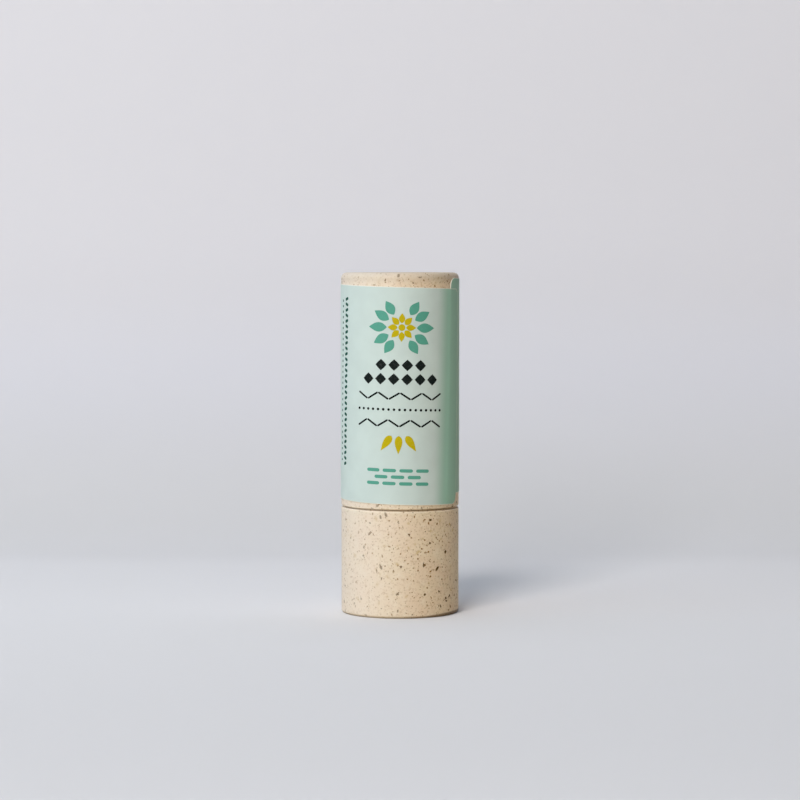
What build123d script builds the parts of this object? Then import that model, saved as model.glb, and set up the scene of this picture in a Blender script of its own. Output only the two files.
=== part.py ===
from build123d import *

import os
from math import atan, cos, pi

# A closed twist-up balm stick, standing on its base. Millimetres, +Z up. The origin is
# the middle of the face that it stands on, and -Y is the front, where the label's print
# is. The cap pulls off upwards. Under it a sleeve turns in the base: two spiral grooves
# in the sleeve lead two lugs on the balm's cup up and down two straight slots in a tube
# that stands fast in the base.

# ---- Driving dimensions: outside ----
barrel_diameter = 22.0  # the cap and the base are flush
base_height = 20.0  # floor to parting line
base_wall = 1.55
base_floor = 2.2  # underside to the inside floor
foot_ring_width = 2.6  # the ring that the base stands on
foot_recess_depth = 0.6
foot_edge_radius = 0.7
gate_mark_diameter = 2.4  # moulding mark in the middle of the underside
gate_mark_height = 0.2
parting_edge_radius = 0.22  # rounds both lips of the parting line
parting_gap = 0.05  # cap rim to base rim
cap_top_wall = 2.0
cap_top_edge_radius = 1.0
cap_headroom = 3.7  # free height over the tube's mouth
grip_rib_count = 6
grip_rib_width = 1.2
grip_rib_start = 4.0  # above the cap's rim

# ---- Driving dimensions: mechanism ----
travel = 40.0  # how far the balm rises
lead = 20.0  # rise for one turn of the sleeve
collar_wall = 0.53
collar_lip_height = 0.55
collar_lip_reach = 0.8  # how far the lip covers the spiral's end
collar_edge_radius = 0.2
spiral_wall = 1.27
groove_depth = 0.82
spiral_land = 8.6  # plain length above the grooves
tube_wall = 0.8
tube_bead_height = 0.9
tube_bead_reach = 0.4  # the snap bead's reach over the spiral's end
slot_sill = 1.8  # foot flange to the slots' lower ends
foot_flange_height = 2.4
foot_tooth_count = 24
foot_tooth_depth = 0.35
ring_section = 0.8  # thickness of the soft drag ring
lug_diameter = 1.8
cup_wall = 0.48
cup_floor = 1.0
cup_height = 12.0
cup_lug_height = 2.4  # cup's underside to the lugs' axis
balm_tip_recess = 2.0  # tip to the tube's mouth
balm_dome_height = 3.2
balm_edge_radius = 0.8

# ---- Driving dimensions: label ----
paper_thickness = 0.1
label_top_margin = 0.9  # cap's top to the label's highest corner
label_bottom_margin = 0.65  # cap's rim to the label's lowest corner
label_start = 55.0  # degrees from the front, towards the right
label_turn = 376.0  # degrees wrapped, so the ends overlap
label_slope = 0.029  # fall for each unit of length round the cap
label_climb = 4.0  # degrees before the lower end in which the upper layer starts
label_hollow = 0.6  # degrees left hollow where the paper steps over its own edge

# ---- Clearances, all radial or one-sided ----
turning_clearance = 0.1  # collar in the base
cam_clearance = 0.08  # spiral on the tube
press_clearance = 0.02  # pieces pressed together
lug_clearance = 0.1  # lugs in slots and grooves
cup_clearance = 0.1  # cup in the tube
grip_clearance = 0.05  # cap's ribs on the collar
cap_air_gap = 0.25  # cap's bore round the collar
end_play = 0.1  # spiral between flange and bead
collar_foot_gap = 0.4
paste_gap = 0.01  # label on the cap

# ---- Radii, from the outside in ----
barrel_radius = barrel_diameter / 2
base_bore_radius = barrel_radius - base_wall
collar_radius = base_bore_radius - turning_clearance
collar_bore_radius = collar_radius - collar_wall
spiral_radius = collar_bore_radius - press_clearance
spiral_bore_radius = spiral_radius - spiral_wall
groove_radius = spiral_bore_radius + groove_depth
tube_radius = spiral_bore_radius - cam_clearance
tube_bead_radius = tube_radius + tube_bead_reach
tube_bore_radius = tube_radius - tube_wall
cup_radius = tube_bore_radius - cup_clearance
cup_bore_radius = cup_radius - cup_wall
balm_radius = cup_bore_radius - press_clearance
lug_tip_radius = groove_radius - lug_clearance
cap_bore_radius = collar_radius + cap_air_gap
grip_rib_radius = collar_radius + grip_clearance
foot_flange_radius = base_bore_radius - press_clearance
foot_recess_radius = barrel_radius - foot_ring_width

# ---- Heights, from the floor up ----
flange_top = base_floor + foot_flange_height
spiral_foot = flange_top + end_play
collar_foot = flange_top + collar_foot_gap
slot_bottom = flange_top + slot_sill
lug_height = slot_bottom + lug_clearance + lug_diameter / 2
groove_length = travel + lug_diameter + 2 * lug_clearance
spiral_top = slot_bottom + groove_length + spiral_land
bead_foot = spiral_top + end_play
tube_top = bead_foot + tube_bead_height
collar_lip_foot = spiral_top + press_clearance
collar_top = collar_lip_foot + collar_lip_height
cup_foot = lug_height - cup_lug_height
balm_foot = cup_foot + cup_floor + press_clearance
balm_tip = tube_top - balm_tip_recess
cap_rim = base_height + parting_gap
cap_ceiling = tube_top + cap_headroom
cap_top = cap_ceiling + cap_top_wall


def outer_ring(part):
    """The part's widest circular edges, lowest first."""
    return part.edges().filter_by(GeomType.CIRCLE).group_by(SortBy.RADIUS)[-1].sort_by(Axis.Z)


# ---- Base: the outer cup that the hand holds ----
with BuildPart() as base_shell:
    with BuildSketch(Plane.XY):
        Circle(barrel_radius)
    extrude(amount=base_height)
    with BuildSketch(Plane.XY.offset(base_floor)):
        Circle(base_bore_radius)
    extrude(amount=base_height, mode=Mode.SUBTRACT)
    with BuildSketch(Plane.XY):
        Circle(foot_recess_radius)
    extrude(amount=foot_recess_depth, mode=Mode.SUBTRACT)
    with BuildSketch(Plane.XY.offset(foot_recess_depth - gate_mark_height)):
        Circle(gate_mark_diameter / 2)
    extrude(amount=gate_mark_height)
    fillet(outer_ring(base_shell)[0], foot_edge_radius)
    fillet(outer_ring(base_shell)[-1], parting_edge_radius)
base_shell.part.label = "base_shell"

# ---- Slotted tube: stands fast in the base, keeps the cup from turning ----
with BuildPart() as slotted_tube:
    with BuildSketch(Plane.XY.offset(base_floor)):
        Circle(foot_flange_radius)
        with PolarLocations(foot_flange_radius, foot_tooth_count):
            Rectangle(2 * foot_tooth_depth, 2 * foot_tooth_depth, rotation=45, mode=Mode.SUBTRACT)
    extrude(amount=foot_flange_height)
    with BuildSketch(Plane.XY.offset(base_floor)):
        Circle(tube_radius)
    extrude(amount=tube_top - base_floor)
    with BuildSketch(Plane.XY.offset(bead_foot)):
        Circle(tube_bead_radius)
    extrude(amount=tube_bead_height)
    fillet(faces().sort_by(Axis.Z)[-1].edges(), min(tube_bead_reach, tube_bead_height) / 2)
    with BuildSketch(Plane.XY.offset(base_floor)):
        Circle(tube_bore_radius)
    extrude(amount=tube_top, mode=Mode.SUBTRACT)
    with BuildSketch(Plane.YZ):
        with Locations((0, lug_height + travel / 2)):
            SlotCenterToCenter(travel, lug_diameter + 2 * lug_clearance, rotation=90)
    extrude(amount=2 * tube_radius, both=True, mode=Mode.SUBTRACT)
slotted_tube.part.label = "slotted_tube"

# ---- Brake ring: a soft ring round the tube's foot, for the sleeve's drag ----
ring_radius = tube_radius + press_clearance + ring_section / 2
with BuildPart() as brake_ring:
    with BuildSketch(Plane.XZ):
        with Locations((ring_radius, flange_top + ring_section / 2)):
            Circle(ring_section / 2)
    revolve(axis=Axis.Z)
brake_ring.part.label = "brake_ring"

# ---- Spiral sleeve: twin grooves on its inside lead the lugs ----
groove_middle_radius = (spiral_bore_radius + groove_radius) / 2
groove_slope = atan(lead / (2 * pi * groove_middle_radius))
groove_rise = (lug_diameter + 2 * lug_clearance) / cos(groove_slope)
groove_span = 360 * groove_rise / lead
groove_lead_in = 360 * (lug_height - slot_bottom) / lead
groove_inner_radius = spiral_bore_radius - groove_depth
ring_seat_radius = ring_radius + ring_section / 2 + press_clearance
ring_seat_height = ring_section + end_play


def groove_solid(lug_angle):
    """A twisted bar that cuts one groove. It passes the lug at lug_angle at rest."""
    first = lug_angle + groove_lead_in - groove_span / 2
    with BuildSketch(Plane.XY.offset(slot_bottom)) as section:
        with BuildLine():
            outer = CenterArc((0, 0), groove_radius, first, groove_span)
            inner = CenterArc((0, 0), groove_inner_radius, first, groove_span)
            Line(outer @ 0, inner @ 0)
            Line(outer @ 1, inner @ 1)
        make_face()
    twist = -360 * groove_length / lead
    foot = (0, 0, slot_bottom)
    rise = (0, 0, groove_length)
    return Solid.extrude_linear_with_rotation(section.sketch.face(), foot, rise, twist)


with BuildPart() as spiral_sleeve:
    with BuildSketch(Plane.XY.offset(spiral_foot)):
        Circle(spiral_radius)
        Circle(spiral_bore_radius, mode=Mode.SUBTRACT)
    extrude(amount=spiral_top - spiral_foot)
    with BuildSketch(Plane.XY.offset(spiral_foot)):
        Circle(ring_seat_radius)
    extrude(amount=ring_seat_height, mode=Mode.SUBTRACT)
    for lug_angle in (0, 180):
        add(groove_solid(lug_angle), mode=Mode.SUBTRACT)
spiral_sleeve.part.label = "spiral_sleeve"

# ---- Collar sleeve: the smooth skin of the turning sleeve, gripped by the cap ----
with BuildPart() as collar_sleeve:
    with BuildSketch(Plane.XY.offset(collar_foot)):
        Circle(collar_radius)
    extrude(amount=collar_top - collar_foot)
    fillet(outer_ring(collar_sleeve)[-1], collar_edge_radius)
    with BuildSketch(Plane.XY.offset(collar_foot)):
        Circle(collar_bore_radius)
    extrude(amount=collar_lip_foot - collar_foot, mode=Mode.SUBTRACT)
    with BuildSketch(Plane.XY.offset(collar_lip_foot)):
        Circle(collar_bore_radius - collar_lip_reach)
    extrude(amount=collar_lip_height, mode=Mode.SUBTRACT)
collar_sleeve.part.label = "collar_sleeve"

# ---- Balm cup: its two lugs reach through the slots into the grooves ----
with BuildPart() as balm_cup:
    with BuildSketch(Plane.XY.offset(cup_foot)):
        Circle(cup_radius)
    extrude(amount=cup_height)
    with BuildSketch(Plane.YZ):
        with Locations((0, lug_height)):
            Circle(lug_diameter / 2)
    extrude(amount=lug_tip_radius, both=True)
    with BuildSketch(Plane.XY.offset(cup_foot + cup_floor)):
        Circle(cup_bore_radius)
    extrude(amount=cup_height, mode=Mode.SUBTRACT)
balm_cup.part.label = "balm_cup"

# ---- Balm: a round stick with a domed tip ----
balm_shoulder = balm_tip - balm_dome_height
with BuildPart() as balm_stick:
    with BuildSketch(Plane.XZ) as balm_outline:
        with BuildLine():
            axis_line = Line((0, balm_tip), (0, balm_foot))
            foot_line = Line(axis_line @ 1, (balm_radius, balm_foot))
            side_line = Line(foot_line @ 1, (balm_radius, balm_shoulder))
            dome_rise = balm_dome_height
            dome_radius = (balm_radius**2 + dome_rise**2) / (2 * dome_rise)
            RadiusArc(side_line @ 1, axis_line @ 0, -dome_radius)
        make_face()
        side_corners = balm_outline.vertices().group_by(Axis.X)[-1].sort_by(Axis.Y)
        fillet(side_corners[-1], balm_edge_radius)
    revolve(axis=Axis.Z)
balm_stick.part.label = "balm_stick"

# ---- Cap: grips the collar with ribs on its inside ----
rib_length = cap_ceiling - cap_rim - grip_rib_start
with BuildPart() as cap_shell:
    with BuildSketch(Plane.XY.offset(cap_rim)):
        Circle(barrel_radius)
    extrude(amount=cap_top - cap_rim)
    fillet(outer_ring(cap_shell)[-1], cap_top_edge_radius)
    fillet(outer_ring(cap_shell)[0], parting_edge_radius)
    with BuildSketch(Plane.XY.offset(cap_rim)):
        Circle(cap_bore_radius)
    extrude(amount=cap_ceiling - cap_rim, mode=Mode.SUBTRACT)
    with BuildSketch(Plane.XY.offset(cap_rim + grip_rib_start)) as ribs:
        with PolarLocations(cap_bore_radius, grip_rib_count, start_angle=90):
            Rectangle(2 * (cap_bore_radius - grip_rib_radius), grip_rib_width)
        Circle(grip_rib_radius, mode=Mode.SUBTRACT)
    extrude(amount=rib_length)
cap_shell.part.label = "cap_shell"

# ---- Wrap label: a strip of paper wound round the cap, slightly askew ----
label_inner_radius = barrel_radius + paste_gap
label_length = 2 * pi * label_inner_radius * label_turn / 360
label_fall = label_slope * label_length
label_height = cap_top - cap_rim - label_top_margin - label_bottom_margin - label_fall
label_highest = cap_top - label_top_margin
front_angle = -90.0


def label_band(first, last, layer):
    """The strip between two angles of wrap, in the given layer of paper, 0 or 1."""
    radius = label_inner_radius + (layer + 0.5) * paper_thickness
    fall_per_degree = label_fall / label_turn
    fall = (last - first) * fall_per_degree
    height = label_highest - label_height / 2 - (last - label_start) * fall_per_degree
    # The path runs from the strip's last angle up and back to its first.
    path = Edge.make_helix(360 * fall_per_degree, fall, radius, (0, 0, height), (0, 0, 1), 0, True)
    path = path.rotate(Axis.Z, front_angle + last)
    outward = Vector((path @ 0).X, (path @ 0).Y, 0)
    start = Plane(path @ 0, x_dir=outward, z_dir=Vector(0, 0, 1).cross(outward))
    with BuildPart() as band:
        with BuildSketch(start):
            Rectangle(paper_thickness, label_height)
        sweep(path=path, is_frenet=True)
    return band.part


label_end = label_start + label_turn
with BuildPart() as wrap_label:
    add(label_band(label_start, label_start + 360 - label_hollow, 0))
    add(label_band(label_start + 360 - label_climb, label_end, 1))
wrap_label.part.label = "wrap_label"

os.makedirs("parts", exist_ok=True)
export_step(base_shell.part, "parts/base_shell.step")
export_step(slotted_tube.part, "parts/slotted_tube.step")
export_step(brake_ring.part, "parts/brake_ring.step")
export_step(spiral_sleeve.part, "parts/spiral_sleeve.step")
export_step(collar_sleeve.part, "parts/collar_sleeve.step")
export_step(balm_cup.part, "parts/balm_cup.step")
export_step(balm_stick.part, "parts/balm_stick.step")
export_step(cap_shell.part, "parts/cap_shell.step")
export_step(wrap_label.part, "parts/wrap_label.step")
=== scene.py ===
from collections import namedtuple
from functools import wraps
from math import ceil, cos, hypot, pi, radians, sin, sqrt, tan

import bmesh
import bpy
from bpy.props import FloatProperty, FloatVectorProperty, IntProperty, PointerProperty
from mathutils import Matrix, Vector


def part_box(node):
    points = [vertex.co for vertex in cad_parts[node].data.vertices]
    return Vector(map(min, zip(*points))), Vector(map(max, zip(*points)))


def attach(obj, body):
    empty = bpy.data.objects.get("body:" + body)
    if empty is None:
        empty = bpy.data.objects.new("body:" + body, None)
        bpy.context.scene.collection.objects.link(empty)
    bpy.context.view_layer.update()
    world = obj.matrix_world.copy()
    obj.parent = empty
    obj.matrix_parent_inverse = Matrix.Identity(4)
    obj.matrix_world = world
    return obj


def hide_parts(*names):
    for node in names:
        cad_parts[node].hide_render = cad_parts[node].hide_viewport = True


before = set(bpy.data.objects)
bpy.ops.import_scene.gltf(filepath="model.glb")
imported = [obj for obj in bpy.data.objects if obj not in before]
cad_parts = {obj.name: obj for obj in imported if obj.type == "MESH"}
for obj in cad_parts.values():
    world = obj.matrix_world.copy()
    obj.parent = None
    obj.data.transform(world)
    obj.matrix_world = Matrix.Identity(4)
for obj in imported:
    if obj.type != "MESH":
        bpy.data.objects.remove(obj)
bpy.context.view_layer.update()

# A closed twist-up balm stick: a cap of flecked fibre composite with a paper strip wound
# round it, a short base flush with it, and the turning sleeve, cup and balm inside.
# Metres, +Z up, standing on z = 0. -Y is the front, where the label's print is.

bl_info = {
    "name": "Twist-Up Balm Stick",
    "version": (1, 0, 0),
    "blender": (4, 5, 0),
    "location": "3D View > Sidebar > Balm Stick",
    "description": "Dresses the packed balm stick with its shells, label, print and studio",
    "category": "Add Mesh",
}

MM = 0.001
BASE_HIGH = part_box("base_shell")[1]
CAP_LOW, CAP_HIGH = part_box("cap_shell")
BALM_LOW, BALM_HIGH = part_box("balm_stick")
BARREL_RADIUS = BASE_HIGH.x
FRONT = -pi / 2  # the angle of -Y, where the label's angles start
SOFT = 0.1 * MM  # the rounding of a moulded piece's plain edges
BLOSSOM_UP = 12.6 * MM  # the label's middle to the blossom's
SENSOR = 36  # width of the camera's sensor, in mm


def shade(red, green, blue):
    """A colour written as it shows on screen, 0 to 255, as linear light."""
    def linear(value):
        part = value / 255
        return part / 12.92 if part <= 0.04045 else ((part + 0.055) / 1.055) ** 2.4
    return linear(red), linear(green), linear(blue), 1.0


def length(name, description, millimetres):
    """A length that a user can set."""
    return FloatProperty(name=name, description=description, default=millimetres * MM,
                         unit="LENGTH", precision=5)


def angle(name, description, degrees):
    """An angle that a user can set."""
    return FloatProperty(name=name, description=description, default=radians(degrees),
                         subtype="ANGLE")


def colour(name, description, value):
    """A colour that a user can set."""
    return FloatVectorProperty(name=name, description=description, default=value, size=4,
                               min=0, max=1, subtype="COLOR")


def factor(name, description, value):
    """A share that a user can set."""
    return FloatProperty(name=name, description=description, default=value, min=0, max=1,
                         subtype="FACTOR")


def power(name, description, watts):
    """A light's power that a user can set."""
    return FloatProperty(name=name, description=description, default=watts, min=0,
                         unit="POWER")


# ---- What a user can change ----


class ShellSettings(bpy.types.PropertyGroup):
    """Walls, edges and unevenness of the turned shells"""
    segments: IntProperty(name="Segments", description="Faces round a turned piece",
                          default=256, min=24)
    ring_step: length("Ring Step", "Height of a turned piece's faces", 0.5)
    unevenness: length("Unevenness", "How far a moulded wall wanders", 0.006)
    # the reach of the paler rounded edges, partly real wear and partly a painted highlight
    wear_and_highlight_reach: length("Wear Reach", "How far a rubbed edge runs past its rounding", 0.3)
    base_wall: length("Base Wall", "Thickness of the base's side", 1.55)
    base_floor: length("Base Floor", "Thickness of the base's floor", 2.2)
    foot_ring_width: length("Foot Ring Width", "Width of the ring it stands on", 2.6)
    foot_recess: length("Foot Recess", "Depth of the hollow inside the foot ring", 0.6)
    foot_edge: length("Foot Edge", "Radius of the base's lower edge", 0.6)
    gate_radius: length("Gate Radius", "Radius of the moulding mark underneath", 1.2)
    gate_height: length("Gate Height", "Height of the moulding mark underneath", 0.2)
    lip_radius: length("Lip Radius", "Radius of both lips of the parting line", 0.22)
    groove: length("Groove", "How far each lip of the parting line draws back", 0.09)
    groove_lean: length("Groove Lean", "How much wider the parting line is on the right", 0.2)
    groove_depth: length("Groove Depth", "How deep the parting line cuts in", 0.6)
    cap_wall: length("Cap Wall", "Thickness of the cap's side", 1.4)
    cap_top: length("Cap Top", "Thickness of the cap's top", 2.0)
    cap_edge: length("Cap Edge", "Radius of the cap's upper edge", 1.0)
    rib_count: IntProperty(name="Ribs", description="Grip ribs inside the cap",
                           default=6, min=3)
    rib_width: length("Rib Width", "Width of a grip rib", 1.2)
    rib_depth: length("Rib Depth", "How far a grip rib stands out", 0.2)
    rib_start: length("Rib Start", "Cap's rim to a rib's lower end", 4.0)


class LabelSettings(bpy.types.PropertyGroup):
    """The paper strip and its print"""
    paper: length("Paper", "Thickness of the paper", 0.1)
    paste: length("Paste", "Gap between the paper and the cap", 0.01)
    corner: length("Corner", "Radius of the strip's corners", 1.5)
    top_margin: length("Top Margin", "Cap's top to the strip's highest corner", 0.9)
    bottom_margin: length("Bottom Margin", "Cap's rim to the strip's lowest corner", 0.65)
    start: angle("Start", "Where the lower end lies, from the front towards the right", 55)
    turn: angle("Turn", "How far round the strip goes", 376)
    slope: angle("Slope", "How far askew the strip is wound", 1.66)
    climb: length("Climb", "Length in which the upper layer steps over the lower end", 0.8)
    ink: length("Ink", "Height of the ink over the paper", 0.012)
    slice: length("Slice", "Width of the print's and the paper's flat faces", 0.35)
    cut_rim: length("Cut Rim", "Width of the bare rim along the paper's cut edge", 0.13)
    # painted shade: both ends of the strip lie on the shaded right side, and their ground is
    # painted darker and greener
    shade_end: length("Deep End", "Length at both ends where the ground is printed deeper", 3.4)
    shade_fade: length("Deep Fade", "Length in which that deeper ground fades out", 3.6)
    paper_colour: colour("Paper Colour", "The printed ground", shade(196, 211, 208))
    # the colour of that painted shade at both ends
    painted_shade_colour: colour("Deep Colour", "The printed ground at both ends", shade(150, 190, 173))
    core_colour: colour("Core Colour", "The paper's cut edge and back", shade(232, 230, 220))
    dark_ink: colour("Dark Ink", "Main print", shade(6, 16, 13))
    leaf_ink: colour("Leaf Ink", "Green print", shade(84, 155, 137))
    bloom_ink: colour("Bloom Ink", "Yellow print", shade(186, 168, 2))
    side_ink: colour("Side Ink", "Small print at the side", shade(8, 74, 64))


class FinishSettings(bpy.types.PropertyGroup):
    """Colours of the moulded pieces"""
    body: colour("Composite", "The composite's ground", shade(221, 202, 173))
    # painted sheen: a paler, cooler tone and fainter flakes on the lit left side, standing in
    # for the highlight there
    painted_sheen: colour("Chalk", "The composite's chalky, cooler side", shade(227, 217, 207))
    painted_sheen_share: factor("Chalk Share", "How chalky the composite is on that side", 0.6)
    sheen_fleck_clearness: factor("Chalk Clearness", "How clear the flakes stay on that side", 0.5)
    # painted shade: a painted contact shadow along the edge that it stands on
    painted_foot_shade: factor("Foot Grime", "How brown the edge that it stands on has rubbed", 0.85)
    # painted shade on the cap's upper edge, where less light falls on it, and the tone of that
    # shade
    painted_top_shade: factor("Top Grime", "How dull handling has made the cap's upper edge", 0.42)
    top_shade_tone: colour("Soil", "Dull tone that handling leaves", shade(108, 92, 76))
    warm: colour("Warm Cloud", "Pinkish clouds in the composite", shade(220, 194, 168))
    # pale also paints the rounded edges, partly real wear and partly a painted highlight
    pale: colour("Pale Cloud", "Pale clouds in the composite and its rubbed edges",
                 shade(231, 219, 198))
    bran: colour("Bran", "The composite's ochre blotches", shade(180, 148, 74))
    straw: colour("Straw", "The composite's long fibres", shade(146, 100, 16))
    husk: colour("Husk", "The composite's small brown flakes", shade(128, 86, 0))
    # bark also paints the contact shadow along the foot
    bark: colour("Bark", "The composite's dark flakes", shade(88, 60, 0))
    collar: colour("Collar", "The turning sleeve's skin", shade(226, 212, 186))
    inner: colour("Inner", "The tube, spiral and cup", shade(232, 227, 214))
    rubber: colour("Rubber", "The brake ring", shade(74, 72, 68))
    wax: colour("Wax", "The balm", shade(240, 226, 178))


class StageSettings(bpy.types.PropertyGroup):
    """Camera, lights, floor and backdrop"""
    camera_distance: length("Camera Distance", "Camera to the stick's axis", 504.3)
    camera_height: length("Camera Height", "Camera over the floor", 67.3)
    camera_tilt: angle("Camera Tilt", "How far the camera looks down", 3.12)
    lens: FloatProperty(name="Lens", description="Focal length in mm", default=121.2, min=1)
    floor_depth: length("Floor Depth", "Axis to where the backdrop starts to rise", 92)
    sweep_radius: length("Sweep Radius", "Radius of the bend from floor to backdrop", 60)
    key_azimuth: angle("Key Azimuth", "Key light, from the front towards the left", 19)
    key_elevation: angle("Key Elevation", "Key light over the floor", 37)
    key_width: length("Key Width", "Width of the key light", 440)
    key_height: length("Key Height", "Height of the key light", 860)
    key_power: power("Key Power", "Power of the key light", 12.9)
    side_azimuth: angle("Side Azimuth", "Side light, from the front towards the left", 68)
    side_elevation: angle("Side Elevation", "Side light over the floor", 30)
    side_width: length("Side Width", "Width of the side light", 1060)
    side_height: length("Side Height", "Height of the side light", 1060)
    side_power: power("Side Power", "Power of the side light", 4.9)
    light_distance: length("Light Distance", "Both lights to the stick", 1200)
    key_colour: colour("Key Colour", "Tint of the key light", (1.0, 0.99, 0.98, 1.0))
    side_colour: colour("Side Colour", "Tint of the side light", (0.6, 0.8, 1.0, 1.0))
    sky_tint: colour("Sky Tint", "Tint of the even light", (0.92, 0.96, 1.0, 1.0))
    sky_strength: factor("Sky Strength", "Even light from all sides", 0.065)
    floor_colour: colour("Floor", "The floor", shade(219, 217, 217))
    wall_colour: colour("Backdrop", "The backdrop", shade(221, 221, 229))
    floor_bounce: colour("Floor Bounce", "The floor as it lights the stick",
                         shade(204, 188, 160))
    wall_bounce: colour("Wall Bounce", "The backdrop as it lights stick and floor",
                        shade(222, 226, 238))
    floor_dim: factor("Floor Dim", "How much darker the floor gets towards the camera", 0.11)
    wall_dim: factor("Wall Dim", "How much darker the backdrop is low down", 0.13)
    sky_colour: colour("Sky", "What shows past the floor and backdrop", shade(214, 215, 220))


class StickSettings(bpy.types.PropertyGroup):
    """All settings of the balm stick"""
    shell: PointerProperty(type=ShellSettings)
    label: PointerProperty(type=LabelSettings)
    finish: PointerProperty(type=FinishSettings)
    stage: PointerProperty(type=StageSettings)


# ---- Building node trees ----


class Graph:
    """A node tree in the making, with short calls for its parts."""

    SOCKETS = {"geometry": "NodeSocketGeometry", "float": "NodeSocketFloat",
               "int": "NodeSocketInt", "vector": "NodeSocketVector",
               "material": "NodeSocketMaterial"}

    def __init__(self, tree):
        self.tree = tree

    @classmethod
    def group(cls, name, kind, inputs, outputs):
        """A new node group with those sockets: {name: kind of socket, or (kind, default)}."""
        made = cls(bpy.data.node_groups.new(name, kind))
        for direction, sockets in (("INPUT", inputs), ("OUTPUT", outputs)):
            for socket_name, what in sockets.items():
                socket_kind, default = what if isinstance(what, tuple) else (what, None)
                socket = made.tree.interface.new_socket(
                    name=socket_name, in_out=direction, socket_type=cls.SOCKETS[socket_kind])
                if default is not None:
                    socket.default_value = default
        made.inputs = made.node("NodeGroupInput").outputs
        made.end = made.node("NodeGroupOutput")
        return made

    def node(self, kind, values=(), **settings):
        """A new node. A socket given for an input is linked, anything else is its value."""
        made = self.tree.nodes.new(kind)
        for key, value in settings.items():
            setattr(made, key, value)
        self.fill(made, values)
        return made

    def fill(self, node, values):
        """Links or sets a node's inputs, named or numbered."""
        for key, value in dict(values).items():
            if isinstance(value, bpy.types.NodeSocket):
                self.tree.links.new(value, node.inputs[key])
            else:
                node.inputs[key].default_value = value

    def out(self, kind, values=(), **settings):
        """The first output of a new node."""
        return self.node(kind, values, **settings).outputs[0]

    def math(self, operation, *values):
        """The result of one sum on numbers."""
        return self.out("ShaderNodeMath", enumerate(values), operation=operation)

    def plus(self, first, second):
        """Two numbers added."""
        return self.math("ADD", first, second)

    def minus(self, first, second):
        """The second number taken from the first."""
        return self.math("SUBTRACT", first, second)

    def times(self, first, second):
        """Two numbers multiplied."""
        return self.math("MULTIPLY", first, second)

    def over(self, first, second):
        """The first number divided by the second."""
        return self.math("DIVIDE", first, second)

    def vector(self, operation, *values, scale=None):
        """The result of one sum on vectors."""
        made = self.node("ShaderNodeVectorMath", enumerate(values), operation=operation)
        if scale is not None:
            self.fill(made, {"Scale": scale})
        return made.outputs["Value" if operation == "LENGTH" else "Vector"]

    def join(self, x, y, z):
        """A vector of three numbers."""
        return self.out("ShaderNodeCombineXYZ", {0: x, 1: y, 2: z})

    def split(self, vector):
        """A vector's three numbers."""
        return self.node("ShaderNodeSeparateXYZ", {0: vector}).outputs

    def polar(self, radius, turn, height):
        """A place about the Z axis."""
        return self.join(self.times(radius, self.math("COSINE", turn)),
                         self.times(radius, self.math("SINE", turn)), height)

    def ramp(self, value, first, last, low=0.0, high=1.0):
        """A soft step from low to high while value goes from first to last."""
        return self.out("ShaderNodeMapRange", {
            "Value": value, "From Min": first, "From Max": last,
            "To Min": low, "To Max": high}, interpolation_type="SMOOTHSTEP")

    def mix(self, share, first, second):
        """A colour between two others."""
        made = self.node("ShaderNodeMix", data_type="RGBA")
        self.fill(made, {0: share, 6: first, 7: second})
        return made.outputs[2]

    def noise(self, vector, scale, detail=2.0, roughness=0.5, offset=None):
        """Cloudy noise, 0 to 1, with scale in features for each metre.

        An offset takes it from elsewhere, so that two layers don't share their clouds."""
        if offset:
            vector = self.vector("ADD", vector, offset)
        return self.out("ShaderNodeTexNoise", {
            "Vector": vector, "Scale": scale, "Detail": detail, "Roughness": roughness})

    def attribute(self, name, kind):
        """An attribute of the mesh, in a Geometry Nodes tree."""
        return self.out("GeometryNodeInputNamedAttribute", {"Name": name}, data_type=kind)

    def store(self, geometry, name, value, kind, domain="POINT"):
        """A geometry with a named attribute."""
        return self.out("GeometryNodeStoreNamedAttribute", {
            "Geometry": geometry, "Name": name, "Value": value}, data_type=kind, domain=domain)

    def sample(self, geometry, value, index, kind):
        """What a value is at one point of a geometry."""
        return self.out("GeometryNodeSampleIndex", {
            "Geometry": geometry, "Value": value, "Index": index}, data_type=kind)

    def move(self, geometry, **where):
        """A geometry with its points at a Position, or moved by an Offset."""
        return self.out("GeometryNodeSetPosition", {"Geometry": geometry, **where})

    def weld(self, geometry):
        """A geometry whose doubled points are one."""
        return self.out("GeometryNodeMergeByDistance", {
            "Geometry": geometry, "Distance": 0.001 * MM})

    def paint(self, geometry, material, **where):
        """A geometry with the material that the tree has under that input's name."""
        return self.out("GeometryNodeSetMaterial", {
            "Geometry": geometry, "Material": self.inputs[material], **where})

    def close(self, name, geometry, material="Material", face_material=None, **faces):
        """Ends a Geometry Nodes tree: makes copies real and gives them their material.

        The faces of a selection may get another one."""
        made = self.paint(self.out("GeometryNodeRealizeInstances", {0: geometry}), material)
        if face_material:
            made = self.paint(made, face_material, **faces)
        self.fill(self.end, {name: made})
        return self.tree


def built_once(name):
    """Has the node tree that a function makes built the first time only, under this name."""
    def decorate(make):
        @wraps(make)
        def shared():
            return bpy.data.node_groups.get(name) or make(name)
        return shared
    return decorate


# ---- Geometry Nodes trees ----


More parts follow.
